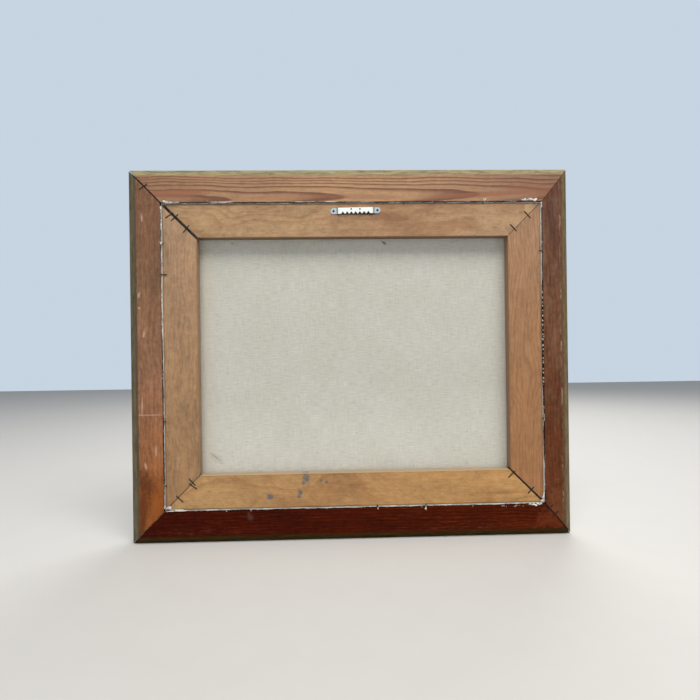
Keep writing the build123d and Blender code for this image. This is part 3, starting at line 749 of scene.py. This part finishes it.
def zinc_plate():
    """Painted reflection: bright on the raised middle, duller bluish grey on the two tabs, and painted shade
    in the bend between them and round the peep holes.
    """
    zinc = Finish("zinc_plate")
    cloudy = zinc.clouds(zinc.x / 1.6, zinc.y / 1.6, zinc.z / 1.6, 4.0, 0.7)
    out = (zinc.x - HANGER_MIDDLE).maths("ABSOLUTE")
    tabs = out.smooth(HANGER_RAISED / 2 - 0.4, HANGER_RAISED / 2 + 0.4)
    # Painted reflection: the raised middle bright, the tabs duller and bluish.
    tone = zinc.mix(tabs, paint_chart(236, 240, 236), paint_chart(176, 189, 195))
    tone = zinc.dim(tone, 1.12 - cloudy * 0.24)
    # Painted shade in the bends.
    bend = out.band(HANGER_RAISED / 2 - 0.9, HANGER_RAISED / 2 + 0.6, 0.4)
    scratch = zinc.clouds(zinc.x / 5, zinc.z / 0.5, 2.0, 3.0, 0.7).smooth(0.58, 0.74)
    tone = zinc.mix((bend * 0.9).most(scratch * 0.3), tone, paint_chart(84, 96, 106))
    for way in (-1, 1):
        hole = (HANGER_MIDDLE + way * PEEP_HOLES[0], hanger["top"] - PEEP_HOLES[1])
        # A ring of painted shade round each peep hole.
        rim = zinc.oval(zinc.x, zinc.z, hole, (PEEP_RIM, PEEP_RIM))
        tone = zinc.mix(rim * 0.9, tone, paint_chart(46, 52, 58))
    return zinc.wear(tone, 0.34 + cloudy * 0.15, cloudy * 0.03 + scratch * 0.03, 0.35)


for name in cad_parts:
    if "staples" in name or "brads" in name:
        give(name, wire_steel)
    elif "nail" in name:
        give(name, nail_steel)
give("sawtooth_hanger", zinc_plate())
print("metal finishes: wire, nails and zinc plate")

# %% [markdown]
# ## The canvas
# Canvas is a plain weave of thick unbleached yarn. Some yarns are thicker than others, which shows as faint
# streaks both ways, and small dark husks are spun in. The back stays raw. The front and the turned edges
# are primed white, and the front is painted. We never see that front from here, so it gets quiet broad
# brushwork in soft colours, with the paint's own ridges.

# %% Canvas finishes
YARN = 0.55  # mm from yarn to yarn
STAINS = [  # across and up from the middle, length and width, turn, strength
    ((43.0, 153.4), (6.4, 3.4), -34.0, 0.85), ((39.6, 155.8), (4.0, 1.4), -40.0, 0.6),
    ((-165.0, 154.0), (4.0, 2.0), -20.0, 0.5), ((-191.8, -136.9), (14.0, 0.9), -38.0, 0.7),
    ((-190.0, -139.0), (20.0, 9.0), -38.0, 0.15),
]


def weave(finish, a, b):
    """Height of a plain weave from 0 to 1, with yarns along a and b crossing over and under."""
    first = (a * (math.pi / YARN)).maths("SINE")
    second = (b * (math.pi / YARN)).maths("SINE")
    over = (first * second).smooth(-0.2, 0.2)
    return over * first.maths("ABSOLUTE") + (1.0 - over) * second.maths("ABSOLUTE")


def raw_canvas():
    """Unbleached cloth with streaks, slubs, husks and a few stains, and painted light that makes it paler
    towards the bottom.
    """
    linen = Finish("raw_canvas")
    height = weave(linen, linen.x, linen.z)
    weft = linen.clouds(linen.x / 13, linen.z / 1.2, 0.0, 3.0, 0.6)
    warp = linen.clouds(linen.x / 1.1, linen.z / 22, 5.0, 3.0, 0.6)
    broad = linen.clouds(linen.x / 70, linen.z / 70, 0.0, 3.0)
    slubs = linen.clouds(linen.x / 7, linen.z / 1.6, 9.0, 2.0).smooth(0.62, 0.8)
    slubs = slubs.most(linen.clouds(linen.x / 1.6, linen.z / 7, 2.0, 2.0).smooth(0.62, 0.8))
    tone = linen.mix(broad.smooth(0.35, 0.65), paint_chart(199, 198, 186), paint_chart(202, 200, 190))
    # Painted light: the cloth is brighter towards the bottom.
    lit = (linen.z - middle.z).smooth(-20.0, -165.0)
    streaks = (weft - 0.5) * 0.58 + (warp - 0.5) * 0.34 + (broad - 0.5) * 0.05
    tone = linen.dim(tone, 0.925 + height * 0.06 + streaks + lit * 0.17)
    tone = linen.mix(slubs * 0.36, tone, paint_chart(226, 222, 208))
    husks = linen.specks(linen.x / 11, linen.z / 11, 0.065, 0.45)
    husks = husks.most(linen.specks(linen.x / 19 + 3, linen.z / 5, 0.09, 0.30))
    tone = linen.mix(husks * 0.55, tone, paint_chart(128, 112, 88))
    near_side = (linen.x - cloth["left"] - BAR_WIDTH).smooth(26.0, 0.0)
    near_side = near_side.most((cloth["right"] - BAR_WIDTH - linen.x).smooth(26.0, 0.0) * 0.3)
    tone = linen.mix(near_side * 0.35, tone, paint_chart(192, 182, 162))
    for place, size, turn, strength in STAINS:
        where = (middle.x + place[0], middle.z + place[1])
        stain = linen.oval(linen.x, linen.z, where, size, turn, 0.9)
        tone = linen.mix(stain * strength, tone, paint_chart(112, 104, 96))
    linen.shader.inputs["Sheen Weight"].default_value = 0.1
    return linen.wear(tone, 0.88, height * 0.16 + (weft + warp) * 0.10)


def primed_edge():
    """White primer that shows the weave and has taken dirt."""
    primer = Finish("primed_edge")
    grain = weave(primer, primer.x + primer.z, primer.y)
    dirt = primer.clouds(primer.x / 8, primer.y / 4, primer.z / 8, 4.0, 0.65)
    tone = primer.mix(dirt.smooth(0.40, 0.66), paint_chart(226, 224, 218), paint_chart(132, 118, 104))
    return primer.wear(tone, 0.7, grain * 0.06 + dirt * 0.15)


def painted_front():
    """Bands of soft colour laid on with broad level strokes."""
    paint = Finish("painted_front")
    strokes = paint.clouds(paint.x / 46, paint.z / 5, 1.0, 4.0, 0.6)
    cross = paint.clouds(paint.x / 12, paint.z / 30, 6.0, 3.0, 0.55)
    height = (paint.z - cloth["bottom"]) / (cloth["top"] - cloth["bottom"]) + (strokes - 0.5) * 0.35
    stops = [
        (0.0, paint_chart(112, 116, 98)), (0.30, paint_chart(146, 146, 122)),
        (0.42, paint_chart(186, 178, 152)), (0.60, paint_chart(198, 200, 190)),
        (1.0, paint_chart(168, 182, 188)),
    ]
    tone = paint.node("ShaderNodeValToRGB", {"stops": stops}, {0: height})
    tone = paint.dim(tone, 0.86 + strokes * 0.16 + cross * 0.12)
    ridges = paint.clouds(paint.x / 18, paint.z / 0.9, 3.0, 2.0)
    relief = ridges * 0.22 + strokes * 0.5 + weave(paint, paint.x, paint.z) * 0.03
    return paint.wear(tone, 0.42 + cross * 0.25, relief)


painted, raw, primed = painted_front(), raw_canvas(), primed_edge()
print("canvas finishes:", [finish.name for finish in (painted, raw, primed)])

# %% [markdown]
# The cloth's edge and everything stuck to it lie in the gap round the stretcher, so we need places there. A
# side and a share along it, measured from its middle, keep such a place right when a size changes. `wobble`
# gives smooth noise, which bends edges without any random draw.

# %% Places beside the stretcher
OUTWARD = {
    "top": Vector((0, 0, 1)), "right": Vector((1, 0, 0)),
    "bottom": Vector((0, 0, -1)), "left": Vector((-1, 0, 0)),
}


def beside(side, share, out, depth):
    """A point near one side of the stretcher: share along it, out from the bars, and depth; all in mm."""
    level = side in ("top", "bottom")
    along = share * (bars["right"] - bars["left"]) if level else share * (bars["top"] - bars["bottom"])
    edge = bars[side] + out if side in ("top", "right") else bars[side] - out
    if level:
        return Vector((middle.x + along, depth, edge))
    return Vector((edge, depth, middle.z + along))


def wobble(place, size, seed):
    """Smooth noise from -1 to 1 at a place in millimetres."""
    return noise.noise(place / size + Vector((seed, seed, seed)))


gap_middle = beside("right", 0.0, RABBET / 2, 0.0)
print("the middle of the right side's gap:", [round(value, 1) for value in gap_middle])

# %% [markdown]
# The sheet starts as a grid over the front. Rings of points then carry its edge round the bars' rounded
# corner and back along their sides, like a lid. The cut is not straight: high on the left it stands proud
# of the bars, and at the top, low on the left and along part of the right side it sinks into the gap. Near
# the cut the cloth also leans out towards the frame. Solidify gives the sheet its thickness. Its inside
# takes the material one slot further on and its cut edge the one two slots further on, so painted and
# primed faces are both raw inside and primed where they were cut. A cloth simulation would add nothing
# here, because the cloth is as tight as a drum.

# %% Canvas mesh
GRID = 4.0  # mm between points of the sheet
EDGE_RADIUS = 1.2
CORNER_STEPS = 2  # rings of points round the bars' corner
SIDE_STEPS = 7  # and along the bars' sides
FLAT_RIM = 12.0  # the cloth lies flat this far in from its edge
SWELL_RISE = 60.0  # and comes up to its full swell over this distance
FRONT_SLOT = 0
SIDE_SLOT = 2
INSIDE_OFFSET = 1
CUT_OFFSET = 2
# Stops of share and mm behind (+) or short of (-) the bars' back, how much that varies, and the lean
CUTS = {
    "left": ([(-0.5, -0.7), (0.0, -0.7), (0.07, 0.6), (0.5, 0.7)], 0.5, 0.60),
    "top": ([(-0.5, -0.9), (0.5, -0.9)], 1.5, 0.55),
    "right": (
        [(-0.5, 0.1), (-0.36, 0.1), (-0.34, -1.5), (-0.26, -1.5), (-0.24, 0.0), (-0.20, -0.2), (-0.12, -2.0),
         (-0.11, -2.6), (0.14, -2.6), (0.22, -1.2), (0.26, 0.0), (0.5, 0.2)],
        0.6, 0.55,
    ),
    "bottom": ([(-0.5, 0.1), (0.5, 0.1)], 0.8, 0.50),
}
SURFACE = cloth["front"] - CLOTH_THICKNESS / 2
HALF_WIDTH = (bars["right"] - bars["left"]) / 2 + CLOTH_THICKNESS / 2 - EDGE_RADIUS
HALF_HEIGHT = (bars["top"] - bars["bottom"]) / 2 + CLOTH_THICKNESS / 2 - EDGE_RADIUS


def reach_at(stops, share):
    """Straight-line value between stops."""
    for (start, low), (end, high) in zip(stops, stops[1:]):
        if share <= end:
            return low + (high - low) * (share - start) / (end - start)
    return stops[-1][1]


def side_of(x, z):
    """The side of the stretcher that a point, given from the middle, is nearest to."""
    spare = {
        "left": HALF_WIDTH + x, "right": HALF_WIDTH - x,
        "bottom": HALF_HEIGHT + z, "top": HALF_HEIGHT - z,
    }
    return min(spare, key=spare.get)


def front_grid(mesh):
    """The cloth over the front; gives the points of its edge in order."""
    columns = round(2 * HALF_WIDTH / GRID)
    rows = round(2 * HALF_HEIGHT / GRID)
    grid = []
    for row in range(rows + 1):
        line = []
        for column in range(columns + 1):
            x = HALF_WIDTH * (2 * column / columns - 1)
            z = HALF_HEIGHT * (2 * row / rows - 1)
            free = min(HALF_WIDTH - abs(x), HALF_HEIGHT - abs(z)) - FLAT_RIM
            swell = max(0.0, min(free / SWELL_RISE, 1.0)) * (0.5 + wobble(Vector((x, 0, z)), 90.0, 3.0)) * 0.5
            line.append(mesh.verts.new((middle.x + x, SURFACE + swell, middle.z + z)))
        grid.append(line)
    for row in range(rows):
        for column in range(columns):
            near = grid[row][column:column + 2]
            far = grid[row + 1][column:column + 2]
            mesh.faces.new((near[0], near[1], far[1], far[0]))
    right = [line[-1] for line in grid[:-1]]
    left = [line[0] for line in grid[:0:-1]]
    return grid[0][:-1] + right + grid[-1][:0:-1] + left


def turned_place(corner, step):
    """Where a point of the front's edge goes on one of the rings that turn the cloth over."""
    x = corner.x - middle.x
    z = corner.z - middle.z
    side = side_of(x, z)
    stops, change, lean = CUTS[side]
    share = x / (2 * HALF_WIDTH) if side in ("top", "bottom") else z / (2 * HALF_HEIGHT)
    cut = bars["back"] - reach_at(stops, share)
    cut += change * wobble(corner, 14.0, 8.0) + 0.5 * change * wobble(corner, 5.0, 2.0)
    if step <= CORNER_STEPS:
        angle = math.pi / 2 * step / CORNER_STEPS
        out = EDGE_RADIUS * math.sin(angle)
        depth = SURFACE - EDGE_RADIUS * (1 - math.cos(angle))
    else:
        part = (step - CORNER_STEPS) / SIDE_STEPS
        start = SURFACE - EDGE_RADIUS
        depth = start + (cut - start) * part
        out = EDGE_RADIUS + part ** 3 * (lean + 0.25 * wobble(corner, 40.0, 5.0))
    push_x = out * (abs(x) > HALF_WIDTH - 0.01) * (1 if x > 0 else -1)
    push_z = out * (abs(z) > HALF_HEIGHT - 0.01) * (1 if z > 0 else -1)
    return corner.x + push_x, depth, corner.z + push_z


def stretched_canvas():
    """The whole sheet: painted over the front and round the corner, primed along the sides."""
    mesh = bmesh.new()
    rim = front_grid(mesh)
    ring = rim
    for step in range(1, CORNER_STEPS + SIDE_STEPS + 1):
        fresh = [mesh.verts.new(turned_place(vertex.co, step)) for vertex in rim]
        for place in range(len(rim)):
            after = (place + 1) % len(rim)
            face = mesh.faces.new((ring[after], ring[place], fresh[place], fresh[after]))
            face.material_index = SIDE_SLOT if step > CORNER_STEPS else FRONT_SLOT
        ring = fresh
    bmesh.ops.recalc_face_normals(mesh, faces=mesh.faces)
    mesh.faces.ensure_lookup_table()
    if mesh.faces[0].normal.y < 0:
        bmesh.ops.reverse_faces(mesh, faces=mesh.faces)
    return mesh


def add_piece(name, mesh, materials):
    """Make an object of a mesh in millimetres, smooth it and let it ride with the body."""
    bmesh.ops.scale(mesh, vec=(MM, MM, MM), verts=mesh.verts)
    data = bpy.data.meshes.new(name)
    mesh.to_mesh(data)
    mesh.free()
    data.polygons.foreach_set("use_smooth", [True] * len(data.polygons))
    piece = bpy.data.objects.new(name, data)
    bpy.context.scene.collection.objects.link(piece)
    for material in materials:
        data.materials.append(material)
    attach(piece, "root")
    return piece


canvas_sheet = add_piece("stretched_canvas", stretched_canvas(), [painted, raw, primed, raw, primed])
thick = canvas_sheet.modifiers.new("cloth", "SOLIDIFY")
thick.thickness = CLOTH_THICKNESS * MM
thick.offset = 0.0
thick.material_offset = INSIDE_OFFSET
thick.material_offset_rim = CUT_OFFSET
print("sheet:", len(canvas_sheet.data.polygons), "faces before it is given its thickness")

# %% [markdown]
# ## Primer, crumbs and threads
# The primer was brushed over the cloth after it was stretched, so it ran into the gap and dried there, as
# beads, clots and crumbs, and the cut cloth frayed. All of that is made of two shapes: a closed tube that
# follows some points, and a lump, which is a ball swollen unevenly by noise. All the random draws come from
# one seeded source, so the model comes out the same each time.

# %% Tubes and lumps
SEED = 20
dice = random.Random(SEED)


def add_tube(mesh, points, radii, flat=1.0, sides=8):
    """A closed tube along points; flat below 1 squeezes it in depth."""
    rings = []
    for index, point in enumerate(points):
        before = points[max(index - 1, 0)]
        after = points[min(index + 1, len(points) - 1)]
        direction = (after - before).normalized()
        across = direction.cross(Vector((0, 1, 0)))
        if across.length < 0.1:
            across = direction.cross(Vector((1, 0, 0)))
        across.normalize()
        deep = direction.cross(across)
        ring = []
        for turn in range(sides):
            angle = 2 * math.pi * turn / sides
            offset = across * math.cos(angle) + deep * (math.sin(angle) * flat)
            ring.append(mesh.verts.new(point + offset * radii[index]))
        rings.append(ring)
    for first, second in zip(rings, rings[1:]):
        for turn in range(sides):
            after = (turn + 1) % sides
            mesh.faces.new((first[turn], first[after], second[after], second[turn]))
    mesh.faces.new(list(reversed(rings[0])))
    mesh.faces.new(rings[-1])


def add_lump(mesh, place, size, seed):
    """A knobbly lump at a place, with its size along x, y and z in millimetres."""
    made = bmesh.ops.create_icosphere(mesh, subdivisions=3, radius=0.5)
    for vertex in made["verts"]:
        bulge = 1.0 + 0.45 * noise.noise(vertex.co * 3.2 + Vector((seed, 0, 0))) \
            + 0.22 * noise.noise(vertex.co * 8.0 + Vector((0, seed, 0)))
        vertex.co = place + Vector(vertex.co[axis] * bulge * size[axis] for axis in range(3))


print("random draws start from seed", SEED)

# %% [markdown]
# Where primer filled the gap it shows as a lumpy white bead. Each bead is a tube that follows the gap with
# an uneven radius, fades at its two ends and wanders a little from side to side.

# %% Primer beads
BEAD_SIZES = {"top": 0.8, "right": 0.45, "bottom": 0.55, "left": 0.5}
BEADS = {  # start and end as shares of the side from its middle, width, out from the bars, depth
    "top": [
        (-0.494, -0.452, 2.0, 1.5, 0.5), (-0.382, -0.311, 1.5, 2.0, 0.2), (-0.228, -0.204, 0.9, 2.0, 0.4),
        (-0.167, -0.038, 1.3, 2.1, 0.2), (-0.020, 0.080, 0.7, 1.9, 0.5), (0.10, 0.125, 0.7, 1.8, 0.6),
        (0.270, 0.312, 0.7, 1.9, 0.5), (0.325, 0.365, 0.8, 2.0, 0.5), (0.380, 0.440, 1.2, 1.9, 0.3),
    ],
    "left": [
        (0.365, 0.490, 1.3, 1.5, 0.8), (0.055, 0.262, 1.9, 1.3, 0.9), (0.275, 0.355, 1.0, 1.5, 1.0),
        (-0.491, -0.423, 1.5, 1.3, 0.8),
    ],
    "right": [
        (0.34, 0.488, 1.0, 1.4, 1.0), (0.24, 0.33, 0.7, 1.3, 1.2), (-0.232, -0.205, 1.9, 1.3, 0.8),
        (-0.46, -0.36, 0.8, 1.3, 1.0),
    ],
    "bottom": [
        (-0.4993, -0.445, 2.2, 0.9, 0.5), (-0.44, -0.33, 0.8, 1.0, 1.0), (-0.283, -0.2725, 1.4, 1.0, 0.8),
        (-0.265, -0.22, 1.1, 1.1, 0.8), (-0.20, -0.15, 0.6, 1.0, 1.0), (-0.138, -0.105, 1.4, 1.2, 0.8),
        (-0.10, 0.0225, 1.6, 1.0, 0.7), (0.057, 0.175, 1.1, 1.0, 0.9), (0.19, 0.31, 1.0, 1.1, 0.9),
        (0.315, 0.407, 1.9, 1.0, 0.6), (0.415, 0.452, 1.0, 1.0, 0.8),
    ],
}
BEAD_STEP = 1.8  # mm between points along a bead
BEAD_FLAT = 0.7


def add_bead(mesh, side, start, end, width, out, depth):
    """One bead along a stretch of a side."""
    length = (beside(side, end, 0, 0) - beside(side, start, 0, 0)).length
    count = max(4, round(length / BEAD_STEP))
    points = []
    radii = []
    for index in range(count + 1):
        part = index / count
        share = start + (end - start) * part
        place = beside(side, share, 0, 0)
        shift = 0.45 * wobble(place, 17.0, 1.0) + 0.2 * wobble(place, 4.0, 6.0)
        swell = 0.75 + 0.55 * wobble(place, 6.0, 4.0) + 0.3 * wobble(place, 2.2, 9.0)
        taper = min(1.0, 5 * part + 0.25, 5 * (1 - part) + 0.25)
        points.append(beside(side, share, out + shift, depth + 0.25 * shift))
        radii.append(max(0.15, width / 2 * swell * taper * BEAD_SIZES[side]))
    add_tube(mesh, points, radii, BEAD_FLAT)


def primer_beads():
    mesh = bmesh.new()
    for side, rows in BEADS.items():
        for row in rows:
            add_bead(mesh, side, *row)
    return mesh


beads = add_piece("primer_beads", primer_beads(), [primed])
print("primer beads:", {side: len(rows) for side, rows in BEADS.items()})

# %% [markdown]
# The clots sit where the cloth is folded double at the four corners and meets the frame; each is a cluster
# of three lumps. Crumbs lie all along the sides, and a few lie loose on the rail at the lower right.
# Half-way up the right side, where the cloth's edge is short and the gap is dark, a row of small lumps
# bridges it.

# %% Clots and crumbs
CLOTS = [  # side, share, out, depth, length along the side, width
    ("top", -0.492, 2.6, 0.2, 5.0, 3.4), ("top", -0.480, 2.0, 0.4, 7.0, 2.4),
    ("top", -0.462, 1.8, 0.4, 6.0, 2.6), ("left", 0.482, 1.4, 0.6, 8.0, 2.0),
    ("left", 0.440, 1.2, 0.8, 9.0, 2.0), ("left", 0.372, 1.6, 0.6, 3.0, 2.6),
    ("top", 0.462, 3.6, -0.1, 7.0, 3.2), ("top", 0.472, 4.4, -0.2, 6.0, 3.6),
    ("top", 0.484, 3.4, 0.0, 6.0, 3.8), ("top", 0.454, 3.0, 0.1, 5.0, 2.2),
    ("right", 0.497, 1.0, 0.4, 3.0, 2.6), ("right", 0.488, 1.6, 0.8, 4.0, 1.6),
    ("bottom", -0.492, -2.6, 0.9, 6.5, 5.0), ("bottom", -0.478, -0.8, 1.2, 9.0, 2.6),
    ("bottom", -0.462, 0.0, 0.8, 9.0, 2.2), ("left", -0.487, 0.8, 0.8, 5.0, 2.2),
    ("bottom", 0.462, 2.2, -0.1, 5.0, 3.2), ("bottom", 0.474, 2.8, -0.2, 6.0, 3.6),
    ("bottom", 0.486, 1.6, 0.1, 7.0, 3.0), ("bottom", 0.496, -1.6, 1.0, 5.0, 4.0),
    ("right", -0.487, -1.2, 1.2, 6.0, 2.6), ("right", -0.474, -0.4, 1.4, 7.0, 1.8),
]
CLOT_DEPTH = 1.2
CRUMBS = 90
LOOSE_CRUMBS = 14
BRIDGES = (0.20, -0.11, 0.0158)  # first, last and step along the right side, where short lumps bridge the gap


def along_side(side):
    """The direction along a side."""
    return Vector((0, 1, 0)).cross(OUTWARD[side])


def add_clot(mesh, seed, side, share, out, depth, long, wide):
    """Three lumps beside each other."""
    for part in range(3):
        place = beside(side, share, out, depth)
        place += OUTWARD[side] * dice.uniform(-0.25, 0.25) * wide
        place += along_side(side) * (part - 1) * long * 0.3
        size = Vector((long * 0.55, CLOT_DEPTH, wide * 0.8))
        if side in ("left", "right"):
            size = Vector((wide * 0.8, CLOT_DEPTH, long * 0.55))
        add_lump(mesh, place, size * dice.uniform(0.7, 1.1), seed + part)


def primer_clots():
    mesh = bmesh.new()
    for index, row in enumerate(CLOTS):
        add_clot(mesh, index * 3.1, *row)
    for index in range(CRUMBS):
        side = dice.choice(SIDES)
        share = dice.uniform(-0.5, 0.5)
        size = dice.uniform(0.5, 1.3)
        place = beside(side, share, dice.uniform(0.8, 2.3), dice.uniform(0.1, 1.2))
        add_lump(mesh, place, Vector((size, size * 0.7, size)), index * 1.7)
    for index in range(LOOSE_CRUMBS):
        size = dice.uniform(0.6, 1.4)
        place = beside("bottom", dice.uniform(0.38, 0.46), dice.uniform(2.4, 5.0), -0.1)
        add_lump(mesh, place, Vector((size, 0.5, size)), index * 2.3)
    share, last, step = BRIDGES
    while share > last:
        place = beside("right", share + dice.uniform(-0.003, 0.003), dice.uniform(0.9, 1.2), 0.9)
        size = Vector((dice.uniform(1.1, 1.6), CLOT_DEPTH, dice.uniform(1.4, 2.8)))
        add_lump(mesh, place, size, share * 40)
        share -= step
    return mesh


clots = add_piece("primer_clots", primer_clots(), [primed])
print("faces of clots and crumbs:", len(clots.data.polygons))

# %% [markdown]
# The cut cloth frays: single yarns stick out of the edge, and in a few places a tuft stands up beside a
# brad. Each yarn is a thin bent tube.

# %% Threads
YARN_RADIUS = 0.16
TUFT_RADIUS = YARN_RADIUS * 2.2  # a tuft's yarns are stiff with primer
FRAYED = 420
TUFTS = [  # side, share, out, how far it reaches, yarns
    ("top", 0.135, 1.9, 4.2, 6), ("top", 0.349, 2.0, 5.4, 8), ("bottom", 0.054, 1.6, 3.4, 6),
    ("bottom", 0.183, 1.4, 6.6, 6), ("bottom", 0.309, 1.5, 3.2, 4), ("left", 0.374, 1.6, 2.6, 5),
    ("top", -0.381, 2.2, 3.0, 4), ("bottom", -0.278, 1.4, 2.4, 4), ("bottom", 0.171, 1.3, 2.6, 4),
]


def add_yarn(mesh, start, direction, length, radius):
    """A yarn that bends at random as it goes."""
    points = [start]
    heading = direction.normalized()
    for part in range(4):
        heading = (heading + Vector(dice.uniform(-0.35, 0.35) for axis in range(3))).normalized()
        points.append(points[-1] + heading * length / 4)
    add_tube(mesh, points, [radius, radius, radius, radius * 0.9, radius * 0.5], 1.0, 5)


def cut_threads():
    mesh = bmesh.new()
    for index in range(FRAYED):
        side = dice.choice(SIDES)
        start = beside(side, dice.uniform(-0.497, 0.497), dice.uniform(0.9, 1.3), dice.uniform(1.6, 2.8))
        along = along_side(side) * dice.uniform(-1.0, 1.0)
        direction = Vector((0, -1, 0)) + along + OUTWARD[side] * dice.uniform(-0.2, 0.5)
        add_yarn(mesh, start, direction, dice.uniform(0.8, 2.2), YARN_RADIUS)
    for side, share, out, reach, yarns in TUFTS:
        for index in range(yarns):
            start = beside(side, share, out, 0.6)
            start += Vector((dice.uniform(-0.5, 0.5), 0, dice.uniform(-0.4, 0.4)))
            along = along_side(side) * dice.uniform(-0.2, 0.2)
            direction = OUTWARD[side] + along - Vector((0, 0.22, 0))
            add_yarn(mesh, start, direction, reach * dice.uniform(0.7, 1.0), TUFT_RADIUS)
    return mesh


threads = add_piece("cut_threads", cut_threads(), [primed])
print("threads:", FRAYED + sum(tuft[4] for tuft in TUFTS))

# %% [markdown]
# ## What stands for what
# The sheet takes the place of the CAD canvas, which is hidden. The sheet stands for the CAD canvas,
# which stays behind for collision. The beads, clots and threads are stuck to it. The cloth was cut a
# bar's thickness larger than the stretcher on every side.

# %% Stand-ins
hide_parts("canvas")
flat = (
    (bars["right"] - bars["left"] + 2 * BAR_THICKNESS) * MM,
    (bars["top"] - bars["bottom"] + 2 * BAR_THICKNESS) * MM,
)
print("cloth cut to", [round(side, 4) for side in flat])

# %% [markdown]
# ## Floor
# A plain pale floor under the frame, which stands on its bottom rail.

# %% Floor
FLOOR_HALF = 3.0
FLOOR_DROP = 0.0002  # keeps the rail's lower face out of the floor
floor_mesh = bmesh.new()
floor_mesh.faces.new([
    floor_mesh.verts.new((x * FLOOR_HALF, y * FLOOR_HALF, cad_low.z - FLOOR_DROP))
    for x, y in ((-1, -1), (1, -1), (1, 1), (-1, 1))
])
floor_data = bpy.data.meshes.new("floor")
floor_mesh.to_mesh(floor_data)
floor_mesh.free()
floor = bpy.data.objects.new("floor", floor_data)
bpy.context.scene.collection.objects.link(floor)
floor_paint = Finish("floor_paint")
floor_grain = floor_paint.clouds(floor_paint.x / 40, floor_paint.y / 40, 0.0, 3.0)
pale = floor_paint.dim(paint_chart(206, 204, 200), 1.02 - floor_grain * 0.04)
floor_data.materials.append(floor_paint.wear(pale, 0.6))
print("floor at", round(cad_low.z - FLOOR_DROP, 4), "m")
